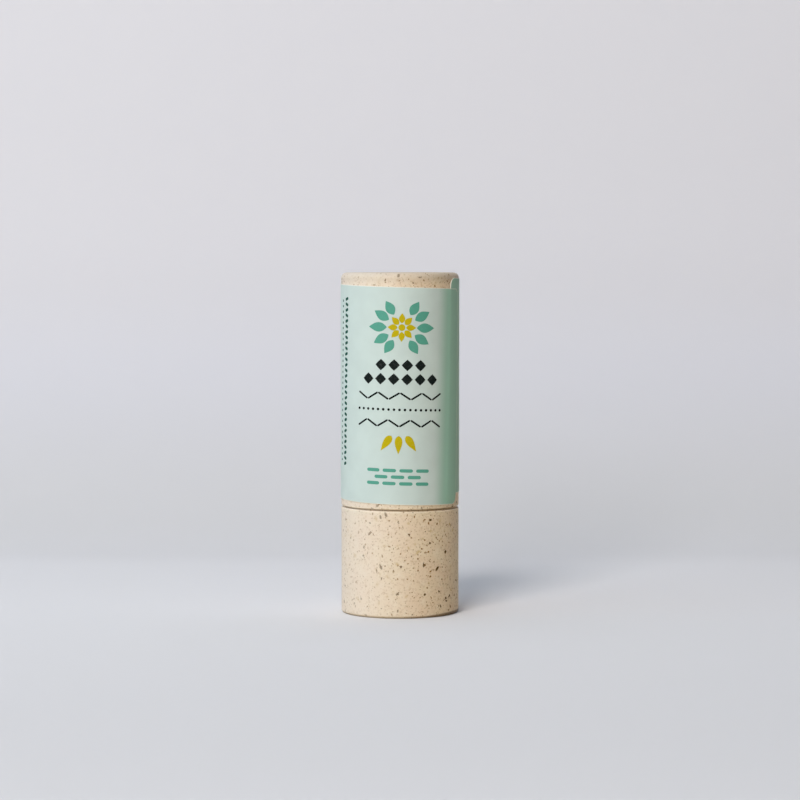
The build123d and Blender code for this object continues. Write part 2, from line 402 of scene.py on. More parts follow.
@built_once("Turned Shell")
def turned_shell_tree(name):
    """Turns a profile of points, in X and Z, about the Z axis into a closed smooth shell."""
    g = Graph.group(name, "GeometryNodeTree", {
        "Profile": "geometry", "Segments": ("int", 256), "Unevenness": ("float", 0.0),
        "Unevenness Scale": ("float", 150.0), "Material": "material"}, {"Shell": "geometry"})
    profile, segments = g.inputs["Profile"], g.inputs["Segments"]
    count = g.out("GeometryNodeAttributeDomainSize", {"Geometry": profile})
    grid = g.out("GeometryNodeMeshGrid", {
        "Vertices X": g.plus(segments, 1.0), "Vertices Y": count})
    index = g.out("GeometryNodeInputIndex")
    ring = g.math("MODULO", index, count)
    column = g.math("FLOOR", g.over(g.plus(index, 0.5), count))
    around = g.times(g.over(column, segments), 2 * pi)
    position = g.out("GeometryNodeInputPosition")
    radius, _, height = g.split(g.sample(profile, position, ring, "FLOAT_VECTOR"))
    wear = g.sample(profile, g.attribute("wear", "FLOAT"), ring, "FLOAT")
    shape = g.move(grid, Position=g.polar(radius, around, height))
    closed = g.weld(g.store(shape, "wear", wear, "FLOAT"))
    wander = g.noise(position, g.inputs["Unevenness Scale"], 1.0)
    reach = g.times(g.times(g.minus(wander, 0.5), 2.0), g.inputs["Unevenness"])
    away = g.vector("NORMALIZE", g.vector("MULTIPLY", position, (1.0, 1.0, 0.0)))
    uneven = g.move(closed, Offset=g.vector("SCALE", away, scale=reach))
    return g.close("Shell", g.out("GeometryNodeSetShadeSmooth", {0: uneven}))


@built_once("Rib Ring")
def rib_ring_tree(name):
    """Sets copies of one rib evenly round the Z axis."""
    g = Graph.group(name, "GeometryNodeTree", {
        "Rib": "geometry", "Count": ("int", 6), "Material": "material"}, {"Ribs": "geometry"})
    count = g.inputs["Count"]
    turn = g.times(g.over(g.out("GeometryNodeInputIndex"), count), 2 * pi)
    return g.close("Ribs", g.out("GeometryNodeInstanceOnPoints", {
        "Points": g.out("GeometryNodePoints", {"Count": count}),
        "Instance": g.inputs["Rib"], "Rotation": g.join(0.0, 0.0, turn)}))


@built_once("Mark Row")
def mark_row_tree(name):
    """Repeats a flat mark in a row along X, with every other copy leaning the other way."""
    g = Graph.group(name, "GeometryNodeTree", {
        "Mark": "geometry", "Count": ("int", 5), "Pitch": ("float", MM),
        "Lean": ("float", 0.0), "Middle": "vector", "Material": "material"},
        {"Row": "geometry"})
    count = g.inputs["Count"]
    index = g.out("GeometryNodeInputIndex")
    half = g.times(g.minus(count, 1.0), 0.5)
    along = g.times(g.minus(index, half), g.inputs["Pitch"])
    place = g.vector("ADD", g.inputs["Middle"], g.join(along, 0.0, 0.0))
    side = g.minus(g.times(g.math("MODULO", index, 2.0), 2.0), 1.0)
    points = g.move(g.out("GeometryNodePoints", {"Count": count}), Position=place)
    return g.close("Row", g.out("GeometryNodeInstanceOnPoints", {
        "Points": points, "Instance": g.inputs["Mark"],
        "Rotation": g.join(0.0, 0.0, g.times(side, g.inputs["Lean"]))}))


@built_once("Barrel Wrap")
def barrel_wrap_tree(name):
    """Gives a flat sheet, drawn in X and Y, its thickness and winds it round the Z axis.

    The sheet starts at X = 0. Past one full turn it climbs over its own lower end."""
    g = Graph.group(name, "GeometryNodeTree", {
        "Sheet": "geometry", "Barrel Radius": ("float", 0.011), "Start": ("float", 0.0),
        "Slope": ("float", 0.0), "Middle Height": ("float", 0.0), "Lift": ("float", 0.0),
        "Thickness": ("float", 0.0001), "Sheet Height": ("float", 0.04),
        "Layer": ("float", 0.00015), "Climb": ("float", 0.0008),
        "Face Material": "material", "Edge Material": "material"}, {"Wrap": "geometry"})
    flat, barrel, slope = g.inputs["Sheet"], g.inputs["Barrel Radius"], g.inputs["Slope"]
    raised = g.node("GeometryNodeExtrudeMesh", {
        "Mesh": flat, "Offset": g.join(0.0, 0.0, 1.0), "Offset Scale": g.inputs["Thickness"],
        "Individual": False}).outputs
    front = g.store(raised["Mesh"], "printed", raised["Top"], "BOOLEAN", "FACE")
    both = g.node("GeometryNodeJoinGeometry")
    for side in (g.out("GeometryNodeFlipFaces", {"Mesh": flat}), front):
        g.tree.links.new(side, both.inputs[0])
    position = g.out("GeometryNodeInputPosition")
    closed = g.store(g.weld(both.outputs[0]), "sheet", position, "FLOAT_VECTOR")
    x, y, z = g.split(position)
    girth = g.times(barrel, 2 * pi)
    lap_x = g.times(girth, g.math("COSINE", slope))
    lap_y = g.times(girth, g.math("SINE", slope))
    # Below the lower end's own lower edge, the upper layer sinks back towards the barrel.
    still_held = 0.35
    under_edge = g.minus(lap_y, g.times(g.inputs["Sheet Height"], 0.5))
    stepped = g.ramp(x, g.minus(lap_x, g.inputs["Climb"]), lap_x)
    held = g.ramp(y, g.minus(under_edge, g.inputs["Climb"]), under_edge, still_held, 1.0)
    climb = g.times(g.times(stepped, held), g.inputs["Layer"])
    along, rise, _ = g.split(g.out("ShaderNodeVectorRotate", {
        "Vector": position, "Angle": g.times(slope, -1.0)}, rotation_type="Z_AXIS"))
    around = g.plus(g.over(along, barrel), g.plus(g.inputs["Start"], FRONT))
    radius = g.plus(g.plus(barrel, g.inputs["Lift"]), g.plus(z, climb))
    wound = g.move(closed, Position=g.polar(
        radius, around, g.plus(rise, g.inputs["Middle Height"])))
    return g.close("Wrap", wound, "Edge Material", "Face Material",
                   Selection=g.attribute("printed", "BOOLEAN"))


def grown(name, start_mesh, tree, values):
    """Runs a Geometry Nodes tree on a mesh and gives the result as a plain mesh."""
    used = [value for value in values.values() if isinstance(value, bpy.types.Material)]
    for material in dict.fromkeys(used):
        start_mesh.materials.append(material)
    start = bpy.data.objects.new(name + "_start", start_mesh)
    bpy.context.scene.collection.objects.link(start)
    modifier = start.modifiers.new(tree.name, "NODES")
    modifier.node_group = tree
    for socket in tree.interface.items_tree:
        if socket.name in values:
            modifier[socket.identifier] = values[socket.name]
    evaluated = start.evaluated_get(bpy.context.evaluated_depsgraph_get())
    made = bpy.data.meshes.new_from_object(evaluated)
    made.name = name
    bpy.data.objects.remove(start)
    while made.materials and made.materials[0] is None:
        made.materials.pop(index=0)  # the empty slot of a mesh that the tree itself makes
    return made


def keep_piece(name, mesh, body, slot, *nodes):
    """Keeps a mesh as a piece that rides on a body and stands for those nodes."""
    piece = bpy.data.objects.new(name, mesh)
    bpy.context.scene.collection.objects.link(piece)
    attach(piece, body)
    if nodes:
        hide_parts(*nodes)


def mesh_of(name, points, edges=(), faces=()):
    """A new mesh."""
    made = bpy.data.meshes.new(name)
    made.from_pydata(points, edges, faces)
    return made


# ---- Turned pieces ----


def rounded_outline(corners, step, wear_and_highlight_reach):
    """Points along a run of corners ((radius, height), rounding), as (x, z, edge share).

    A rounding is an arc of points with edge share 1, and the share fades within the given
    reach of it.
    The share marks rounded edges painted paler, partly real wear and partly a painted
    highlight."""
    arc_steps = 8
    spots = [Vector((*place, 0)) for place, _ in corners]
    run = []
    for i, (_, rounding) in enumerate(corners):
        if not rounding:
            run.append((spots[i], 0.0))
            continue
        here, before, after = spots[i], spots[i - 1], spots[i + 1]
        back, ahead = (before - here).normalized(), (after - here).normalized()
        reach = rounding / tan(back.angle(ahead) / 2)
        centre = here + (back + ahead).normalized() * hypot(rounding, reach)
        first, last = here + back * reach, here + ahead * reach
        if (before - first).length > 2 * wear_and_highlight_reach:
            run.append((first + back * wear_and_highlight_reach, 0.0))
        for k in range(arc_steps + 1):
            ray = (first - centre).slerp(last - centre, k / arc_steps).normalized()
            run.append((centre + ray * rounding, 1.0))
        if (after - last).length > 2 * wear_and_highlight_reach:
            run.append((last + ahead * wear_and_highlight_reach, 0.0))
    points = [run[0]]
    for (before, edge_share_before), (after, edge_share_after) in zip(run, run[1:]):
        pieces = max(1, ceil((after - before).length / step))
        for k in range(1, pieces + 1):
            share = k / pieces
            points.append((before.lerp(after, share),
                           edge_share_before + (edge_share_after - edge_share_before) * share))
    return [(p.x, p.y, wear) for p, wear in points]


def turned(name, corners, material, uneven=1.0, uneven_scale=150.0):
    """A mesh turned from a run of rounded corners."""
    shell = bpy.context.scene.balm_stick.shell
    outline = rounded_outline(corners, shell.ring_step, shell.wear_and_highlight_reach)
    profile = mesh_of(name + "_profile", [(x, 0.0, z) for x, z, _ in outline],
                      [(i, i + 1) for i in range(len(outline) - 1)])
    wear = profile.attributes.new("wear", "FLOAT", "POINT")
    wear.data.foreach_set("value", [w for _, _, w in outline])
    return grown(name, profile, turned_shell_tree(), {
        "Segments": shell.segments, "Unevenness": shell.unevenness * uneven,
        "Unevenness Scale": uneven_scale, "Material": material})


class BALM_OT_base_shell(bpy.types.Operator):
    """Turns the base: a short cup on a foot ring, with a rounded upper lip"""
    bl_idname = "balm_stick.base_shell"
    bl_label = "Base Shell"

    def execute(self, context):
        shell = context.scene.balm_stick.shell
        outer, top = BARREL_RADIUS, BASE_HIGH.z
        bore, foot = outer - shell.base_wall, outer - shell.foot_ring_width
        mark = shell.foot_recess - shell.gate_height
        inset, lip = outer - shell.groove_depth, top - shell.groove
        corners = [
            ((0, mark), 0), ((shell.gate_radius, mark), SOFT / 2),
            ((shell.gate_radius, shell.foot_recess), SOFT / 2),
            ((foot, shell.foot_recess), SOFT), ((foot, 0), SOFT),
            ((outer, 0), shell.foot_edge), ((outer, lip), shell.lip_radius),
            ((inset, lip), 0), ((inset, top), 0),
            ((bore, top), SOFT), ((bore, shell.base_floor), 0), ((0, shell.base_floor), 0)]
        mesh = turned("base_body", corners, composite_material(context))
        self.lean_lip(shell, mesh, inset, lip)
        keep_piece("base_body", mesh, "base", "fibre_composite", "base_shell")
        return {"FINISHED"}

    def lean_lip(self, shell, mesh, inset, lip):
        """Lowers the upper lip towards the right, where the cap sits a little proud."""
        slack = 0.01 * MM
        for vertex in mesh.vertices:
            near_lip = lip - shell.lip_radius - slack < vertex.co.z < lip + slack
            if near_lip and vertex.co.xy.length > inset - slack:
                to_the_right = 0.5 + 0.5 * vertex.co.x / BARREL_RADIUS
                vertex.co.z -= shell.groove_lean * to_the_right


class BALM_OT_cap_shell(bpy.types.Operator):
    """Turns the cap and sets the grip ribs round its bore"""
    bl_idname = "balm_stick.cap_shell"
    bl_label = "Cap Shell"

    def execute(self, context):
        shell = context.scene.balm_stick.shell
        outer, rim, top = BARREL_RADIUS, CAP_LOW.z, CAP_HIGH.z
        bore, ceiling = outer - shell.cap_wall, top - shell.cap_top
        inset, lip = outer - shell.groove_depth, rim + shell.groove
        corners = [
            ((0, ceiling), 0), ((bore, ceiling), 4 * SOFT), ((bore, rim), SOFT),
            ((inset, rim), 0), ((inset, lip), 0), ((outer, lip), shell.lip_radius),
            ((outer, top), shell.cap_edge), ((0, top), 0)]
        material = composite_material(context)
        mesh = turned("cap_body", corners, material)
        keep_piece("cap_body", mesh, "cap", "fibre_composite", "cap_shell")
        ribs = grown("cap_ribs", self.rib(shell, bore, rim + shell.rib_start, ceiling),
                     rib_ring_tree(), {"Count": shell.rib_count, "Material": material})
        keep_piece("cap_ribs", ribs, "cap", "fibre_composite")
        return {"FINISHED"}

    def rib(self, shell, bore, foot, ceiling):
        """One rib at the front of the bore: a rounded bar whose lower end slopes in."""
        depth, half = shell.rib_depth, shell.rib_width / 2
        root, lead_in = bore + shell.cap_wall / 4, 3 * depth
        # The crown's curve: how far across and how far out, as shares of the rib's.
        curve = ((-1, 0.5), (-0.75, 0.9), (0, 1), (0.75, 0.9), (1, 0.5))
        crown = [(-half, root), *((half * x, bore - depth * out) for x, out in curve),
                 (half, root)]
        flush = bore + 0.2 * depth  # the lower end starts behind the wall
        points = [(x, -root if y == root else -flush, foot) for x, y in crown]
        for up in (foot + lead_in, ceiling + shell.cap_top / 4):
            points += [(x, -y, up) for x, y in crown]
        n = len(crown)
        faces = [(a + k, a + (k + 1) % n, b + (k + 1) % n, b + k)
                 for a, b in ((0, n), (n, 2 * n)) for k in range(n)]
        faces += [tuple(reversed(range(n))), tuple(range(2 * n, 3 * n))]
        mesh = mesh_of("rib_start", points, faces=faces)
        outward(mesh)
        return mesh


def outward(mesh):
    """Points a closed mesh's faces outwards."""
    work = bmesh.new()
    work.from_mesh(mesh)
    bmesh.ops.recalc_face_normals(work, faces=work.faces)
    work.to_mesh(mesh)
    work.free()


# ---- The label ----


def label_facts(context):
    """The strip's length and height, and the wrap's settings that all its pieces share."""
    label = context.scene.balm_stick.label
    radius = BARREL_RADIUS + label.paste
    strip = radius * label.turn
    fall = strip * tan(label.slope)
    top = CAP_HIGH.z - label.top_margin
    height = top - (CAP_LOW.z + label.bottom_margin) - fall
    wrap = {"Barrel Radius": radius, "Start": label.start, "Slope": label.slope,
            "Middle Height": top - height / 2, "Sheet Height": height,
            "Layer": label.paper + label.paste, "Climb": label.climb}
    return strip, height, wrap


class BALM_OT_wrap_label(bpy.types.Operator):
    """Winds the paper strip round the cap, slightly askew, over its own lower end"""
    bl_idname = "balm_stick.wrap_label"
    bl_label = "Wrap Label"

    def execute(self, context):
        label = context.scene.balm_stick.label
        strip, height, wrap = label_facts(context)
        sheet = self.sheet(strip, height, label.corner, label.slice)
        mesh = grown("paper_wrap", sheet, barrel_wrap_tree(), {
            **wrap, "Thickness": label.paper, "Face Material": paper_material(context),
            "Edge Material": core_material(context)})
        mesh.shade_smooth()
        mesh.set_sharp_from_angle(angle=radians(40))
        keep_piece("paper_wrap", mesh, "cap", "label_paper", "wrap_label")
        return {"FINISHED"}

    def sheet(self, strip, height, corner, step):
        """The flat strip with rounded corners, as columns of faces."""
        round_steps, rows = 8, 24
        turns = [pi / 2 * k / round_steps for k in range(round_steps + 1)]
        ends = [(corner * (1 - cos(turn)), corner * (1 - sin(turn))) for turn in turns]
        straight = strip - 2 * corner
        inner = max(1, ceil(straight / step))
        between = [(corner + straight * k / inner, 0.0) for k in range(1, inner)]
        columns = ends + between + [(strip - x, inset) for x, inset in reversed(ends)]
        points = [(x, (height / 2 - inset) * (2 * k / rows - 1), 0.0)
                  for x, inset in columns for k in range(rows + 1)]
        tall = rows + 1
        faces = [(a, a + tall, a + tall + 1, a + 1)
                 for c in range(len(columns) - 1) for a in range(c * tall, c * tall + rows)]
        return mesh_of("strip", points, faces=faces)


# Outlines of the print's marks, drawn flat and centred where they stand


def disc(across, corners=20):
    """A round dot."""
    turns = [2 * pi * k / corners for k in range(corners)]
    return [(across / 2 * cos(turn), across / 2 * sin(turn)) for turn in turns]


def lozenge(wide, tall):
    """A diamond with slightly full sides."""
    where, fullness = 0.56, 1.15
    x, y = wide / 2, tall / 2
    side_x, side_y = x * where, y * (1 - where) * fullness
    return [(x, 0), (side_x, side_y), (0, y), (-side_x, side_y),
            (-x, 0), (-side_x, -side_y), (0, -y), (side_x, -side_y)]


def bar(wide, tall):
    """A bar with round ends."""
    steps, reach = 6, (wide - tall) / 2
    turns = [pi * (k / steps - 0.5) for k in range(steps + 1)]
    right = [(reach + tall / 2 * cos(turn), tall / 2 * sin(turn)) for turn in turns]
    return right + [(-x, -y) for x, y in right]


def leaf(long, wide, tip=1.0):
    """A leaf along +X from the origin. tip below 1 makes it fuller towards its end."""
    steps = 14
    shares = [k / steps for k in range(steps + 1)]
    top = [(long * share, wide / 2 * sin(pi * share ** tip)) for share in shares]
    return top[::-1] + [(x, -y) for x, y in top[1:-1]]


def placed(outline, turn=0.0, at=(0.0, 0.0)):
    """An outline turned about the origin and then moved."""
    return [(x * cos(turn) - y * sin(turn) + at[0], x * sin(turn) + y * cos(turn) + at[1])
            for x, y in outline]


def flat_marks(name, outlines, step):
    """A mesh of flat marks, cut into upright slices so that it bends round the barrel."""
    work = bmesh.new()
    for outline in outlines:
        face = work.faces.new([work.verts.new((x, y, 0)) for x, y in outline])
        face.normal_update()
        if face.normal.z < 0:
            face.normal_flip()
    left = min(v.co.x for v in work.verts)
    right = max(v.co.x for v in work.verts)
    for k in range(int(left // step), int(right // step) + 1):
        everything = work.verts[:] + work.edges[:] + work.faces[:]
        bmesh.ops.bisect_plane(work, geom=everything, plane_co=(k * step, 0, 0),
                               plane_no=(1, 0, 0), dist=step / 1000)
    mesh = bpy.data.meshes.new(name)
    work.to_mesh(mesh)
    work.free()
    return mesh


def joined(name, meshes):
    """One mesh of several."""
    work = bmesh.new()
    for mesh in meshes:
        work.from_mesh(mesh)
    made = bpy.data.meshes.new(name)
    work.to_mesh(made)
    work.free()
    return made


class BALM_OT_label_print(bpy.types.Operator):
    """Prints the label: a blossom between leaves, bands of plain ornament and a side border"""
    bl_idname = "balm_stick.label_print"
    bl_label = "Label Print"

    def execute(self, context):
        label = context.scene.balm_stick.label
        _, _, wrap = label_facts(context)
        self.step = label.slice
        self.front = (2 * pi - label.start) * (BARREL_RADIUS + label.paste)
        inks = {
            "print_dark": (label.dark_ink, self.dark_marks()),
            "print_leaf": (label.leaf_ink, self.leaf_marks()),
            "print_bloom": (label.bloom_ink, self.bloom_marks()),
            "print_side": (label.side_ink, self.side_marks()),
        }
        for name, (ink, meshes) in inks.items():
            material = ink_material(name, ink)
            mesh = grown(name, joined(name, meshes), barrel_wrap_tree(), {
                **wrap, "Lift": label.paper - label.ink, "Thickness": 2 * label.ink,
                "Face Material": material, "Edge Material": material})
            keep_piece(name, mesh, "cap", "label_paper")
        return {"FINISHED"}

    def row(self, outline, count, pitch, up, lean=0.0):
        """A row of one mark at a height over the label's middle, across its front."""
        mark = flat_marks("mark", [outline], self.step)
        return grown("row", mark, mark_row_tree(), {
            "Count": count, "Pitch": pitch, "Lean": lean, "Middle": (self.front, up, 0.0)})

    def marks(self, outlines, across, up):
        """Single marks round a place across and over the middle of the label's front."""
        at = (self.front + across, up)
        return flat_marks("marks", [placed(o, 0, at) for o in outlines], self.step)

    def dark_marks(self):
        """Two bold bands of lozenges, and three fine rows of ticks and dots."""
        diamond, pitch = lozenge(2.1 * MM, 2.1 * MM), 2.45 * MM
        tick, tick_pitch, lean = bar(2.3 * MM, 0.34 * MM), 2.05 * MM, radians(32)
        return [
            self.row(diamond, 4, pitch, 5.7 * MM),
            self.row(diamond, 6, pitch, 3.1 * MM),
            self.row(tick, 8, tick_pitch, 0.0, lean),
            self.row(disc(0.5 * MM, corners=12), 17, 1.0 * MM, -2.5 * MM),
            self.row(tick, 8, tick_pitch, -5.0 * MM, -lean),
        ]

    def leaf_marks(self):
        """Five leaves on each side of the blossom, and three rows of bars at the foot."""
        root, long, wide, shorter = 2.75 * MM, 3.5, 1.75 * MM, 0.55
        leaves = []
        for side in (0, pi):
            for spread in (-1.0, -0.52, 0.0, 0.52, 1.0):
                turn = side + spread
                reach = (long - shorter * abs(spread)) * MM
                leaves.append(placed(leaf(reach, wide, tip=0.85), turn,
                                     (root * cos(turn), root * sin(turn))))
        dash, pitch = bar(2.5 * MM, 0.62 * MM), 3.1 * MM
        return [self.marks(leaves, 0.0, BLOSSOM_UP),
                *(self.row(dash, count, pitch, up * MM)
                  for count, up in ((4, -13.7), (3, -14.9), (4, -16.1)))]

    def bloom_marks(self):
        """The blossom's petals and eye, and three drops under the fine rows."""
        count, root = 8, 0.78 * MM
        turns = [2 * pi * k / count for k in range(count)]
        petals = [placed(leaf(1.85 * MM, 1.15 * MM, tip=0.8), turn,
                         (root * cos(turn), root * sin(turn))) for turn in turns]
        drops = [placed(leaf(3.4 * MM, 1.4 * MM, tip=0.62), -pi / 2 + lean,
                        (2.4 * MM * sin(lean), 1.9 * MM)) for lean in (-0.6, 0.0, 0.6)]
        return [self.marks(petals + [disc(1.25 * MM)], 0.0, BLOSSOM_UP),
                self.marks(drops, 0.0, -9.2 * MM)]

    def side_marks(self):
        """A border of upright ticks and dots, wound round to the left edge of the front."""
        pitch, tick, dot = 1.02, bar(1.1 * MM, 0.55 * MM), disc(0.5 * MM, corners=10)
        ticks = [placed(tick, 0.35 * (-1) ** k, (0.0, (17.4 - pitch * k) * MM))
                 for k in range(31)]
        dots = [placed(dot, 0, (-1.7 * MM, (17.0 - pitch * k) * MM)) for k in range(30)]
        return [self.marks(ticks + dots, -12.4 * MM, 0.0)]


# ---- Materials ----


@built_once("Scattered Flakes")
def fleck_group(name):
    """Flakes scattered through a solid: each cell may hold one squashed, turned lump."""
    g = Graph.group(name, "ShaderNodeTree", {
        "Vector": "vector", "Cell": ("float", MM), "Long": ("float", 0.4 * MM),
        "Wide": ("float", 0.15 * MM), "Amount": ("float", 0.5), "Blur": ("float", 0.25),
        "Raggedness": ("float", 0.5), "Seed": ("float", 0.0)},
        {"Mask": "float", "Tone": "float"})
    long, wide, blur = g.inputs["Long"], g.inputs["Wide"], g.inputs["Blur"]
    seed = g.times(g.inputs["Seed"], 0.137)  # each seed reads another part of the noise
    moved = g.vector("ADD", g.inputs["Vector"], g.join(seed, seed, seed))
    cells = g.node("ShaderNodeTexVoronoi", {
        "Vector": moved, "Scale": g.over(1.0, g.inputs["Cell"])}).outputs
    draw = g.node("ShaderNodeTexWhiteNoise", {"Vector": cells["Color"]}).outputs
    local = g.vector("SUBTRACT", moved, cells["Position"])
    spin = g.vector("SCALE", cells["Color"], scale=2 * pi)
    lying = g.out("ShaderNodeVectorRotate", {"Vector": local, "Rotation": spin},
                  rotation_type="EULER_XYZ")
    random_size, random_amount, _ = g.split(draw["Color"])
    smallest, spread, rags = 0.2, 0.6, 1.6
    size = g.plus(g.times(random_size, spread), smallest)
    squash = g.join(g.times(long, size), g.times(wide, size), g.times(wide, size))
    distance = g.vector("LENGTH", g.vector("DIVIDE", lying, squash))
    ragged = g.noise(moved, g.over(rags, wide), 1.0)
    rim = g.plus(distance, g.times(g.minus(ragged, 0.5), g.inputs["Raggedness"]))
    inside = g.ramp(rim, g.plus(1.0, blur), g.minus(1.0, blur))
    there = g.math("LESS_THAN", random_amount, g.inputs["Amount"])
    g.fill(g.end, {"Mask": g.times(inside, there), "Tone": draw["Value"]})
    return g.tree


def new_material(name):
    """A material with its Principled shader, and the graph to build its nodes with."""
    material = bpy.data.materials.new(name)
    material.use_nodes = True
    graph = Graph(material.node_tree)
    return material, graph, material.node_tree.nodes["Principled BSDF"]


def object_place(g):
    """Object coordinates."""
    return g.node("ShaderNodeTexCoord").outputs["Object"]


def flakes(g, vector, **values):
    """One layer of flakes: (mask, tone)."""
    layer = g.node("ShaderNodeGroup", {"Vector": vector, **values}, node_tree=fleck_group())
    return layer.outputs["Mask"], layer.outputs["Tone"]


def bump(g, height, depth):
    """A normal from a height between 0 and 1, with its depth in metres."""
    return g.out("ShaderNodeBump", {"Height": height, "Distance": depth, "Strength": 1.0})


def dimmed(tone, *shares):
    """A colour with each part of it, or all three, times a share."""
    shares = shares * 3 if len(shares) == 1 else shares
    return (*(part * share for part, share in zip(tone, shares)), 1.0)


# The composite's flakes: colour, cell, half length, half width, share of the cells filled,
# blur, raggedness, and the faintest and strongest share of the colour. Lengths in mm.
Flake = namedtuple("Flake", "tone cell long wide amount blur ragged faint strong")
FLAKES = (
    Flake("bran", 1.5, 0.80, 0.36, 0.8, 0.6, 1.2, 0.15, 0.60),
    Flake("straw", 1.7, 1.20, 0.14, 0.85, 0.4, 0.4, 0.45, 1.00),
    Flake("husk", 0.50, 0.20, 0.12, 0.95, 0.5, 0.6, 0.25, 0.90),
    Flake("husk", 0.85, 0.44, 0.20, 0.95, 0.3, 1.0, 0.55, 1.00),
    Flake("bark", 1.55, 0.68, 0.32, 0.8, 0.15, 1.4, 0.90, 1.00),
)


def composite_material(context):
    """Wood-fibre composite: a faintly clouded beige ground with bran, straw, husk and bark."""
    name = "flecked_composite"
    if name in bpy.data.materials:
        return bpy.data.materials[name]
    finish = context.scene.balm_stick.finish
    material, g, shader = new_material(name)
    place = object_place(g)
    across, _, up = g.split(place)
    haze = g.noise(place, 800.0, 3.0, 0.6, offset=(0.31, 0.17, 0.05))
    cloud = g.ramp(g.noise(place, 240.0), 0.35, 0.7, high=0.5)
    ground = g.mix(cloud, finish.body, finish.warm)
    ground = g.mix(g.ramp(haze, 0.45, 0.75, high=0.4), ground, finish.pale)
    # Painted sheen: towards the left, the lit side, the ground is paler and cooler and its
    # flakes fainter, standing in for a highlight.
    even_from, sheen_full_at, faint_at = 7 * MM, -11 * MM, -9 * MM
    ground = g.mix(g.ramp(across, even_from, sheen_full_at, high=finish.painted_sheen_share),
                   ground, finish.painted_sheen)
    clear = g.ramp(across, even_from, faint_at, 1.0, finish.sheen_fleck_clearness)
    crumb = g.noise(place, 2300.0, 3.0, 0.65, offset=(0.07, 0.23, 0.41))
    crumb = g.times(g.ramp(crumb, 0.5, 0.74, high=0.5), clear)
    ground, dark = with_flakes(g, finish, place, clear, g.mix(crumb, ground, finish.straw))
    # Rounded edges painted paler: partly real rubbing, partly a painted highlight on the lips.
    wear = g.node("ShaderNodeAttribute", attribute_name="wear").outputs["Fac"]
    rub_and_highlight = g.times(wear, g.ramp(g.noise(place, 900.0), 0.3, 0.7, 0.1, 0.4))
    ground = g.mix(rub_and_highlight, ground, finish.pale)
    ground = painted_edge_shade(g, finish, across, up, haze, ground)
    grain = g.noise(place, 5200.0, 2.0, 0.6)
    relief = g.plus(g.times(grain, 0.35), g.times(haze, 0.5))
    relief = g.minus(relief, g.times(dark, 0.3))
    rough = g.math("MAXIMUM", g.ramp(grain, 0.2, 0.8, 0.46, 0.6),
                   g.ramp(dark, 0.1, 0.6, high=0.9))
    g.fill(shader, {"Base Color": ground, "Roughness": rough,
                    "Normal": bump(g, relief, 0.02 * MM), "Specular IOR Level": 0.4})
    return material


def with_flakes(g, finish, place, clear, ground):
    """The ground with all layers of flakes, and where they lie."""
    dark = 0.0
    for k, flake in enumerate(FLAKES, 1):
        mask, draw = flakes(
            g, place, Cell=flake.cell * MM, Long=flake.long * MM, Wide=flake.wide * MM,
            Amount=flake.amount, Blur=flake.blur, Raggedness=flake.ragged, Seed=float(k))
        strength = g.ramp(draw, 0.0, 1.0, flake.faint, flake.strong)
        # clear fades the flakes under the painted sheen on the left
        share = g.times(g.times(mask, strength), clear)
        ground = g.mix(share, ground, getattr(finish, flake.tone))
        dark = g.math("MAXIMUM", dark, share)
    return ground, dark


def painted_edge_shade(g, finish, across, up, haze, ground):
    """The ground with painted shade: a contact shadow at its foot and shade on its upper edge,
    both strongest at the right, the shaded side.
    """
    right = 10.5 * MM
    waver, rise, shade_top, shade_full = 0.2 * MM, 0.35 * MM, 0.65 * MM, 0.3 * MM
    # Painted contact shadow: a dark band up the foot, taller and darker towards the right.
    edge = g.plus(up, g.times(haze, waver))
    edge = g.minus(edge, g.ramp(across, 4 * MM, right, high=rise))
    foot_shade = g.times(g.ramp(edge, shade_top, shade_full, high=finish.painted_foot_shade),
                    g.ramp(across, -4 * MM, right, low=0.25))
    ground = g.mix(foot_shade, ground, finish.bark)
    # Painted shade on the cap's upper edge, stronger on the right.
    top_shade_from, top_shade_full = CAP_HIGH.z - 2.5 * MM, CAP_HIGH.z - 0.5 * MM
    at_left, at_right = 0.45 * finish.painted_top_shade, finish.painted_top_shade
    dull = g.times(g.ramp(up, top_shade_from, top_shade_full),
                   g.ramp(across, 1 * MM, right, at_left, at_right))
    return g.mix(dull, ground, finish.top_shade_tone)


@built_once("Strip Border")
def strip_border_group(name):
    """How far inside the border of a flat strip with round corners a point lies.

    Place is the flat place, with X from the strip's end and Y from its middle."""
    g = Graph.group(name, "ShaderNodeTree", {
        "Place": "vector", "Long": ("float", 0.07), "Tall": ("float", 0.04),
        "Corner": ("float", 1.5 * MM)}, {"Inset": "float"})
    x, y, _ = g.split(g.inputs["Place"])
    corner = g.inputs["Corner"]
    half_long, half_tall = g.times(g.inputs["Long"], 0.5), g.times(g.inputs["Tall"], 0.5)
    across = g.math("ABSOLUTE", g.minus(x, half_long))
    past_x = g.minus(across, g.minus(half_long, corner))
    past_y = g.minus(g.math("ABSOLUTE", y), g.minus(half_tall, corner))
    outside = g.vector("LENGTH", g.join(g.math("MAXIMUM", past_x, 0.0),
                                        g.math("MAXIMUM", past_y, 0.0), 0.0))
    inside = g.math("MINIMUM", g.math("MAXIMUM", past_x, past_y), 0.0)
    g.fill(g.end, {"Inset": g.minus(corner, g.plus(outside, inside))})
    return g.tree


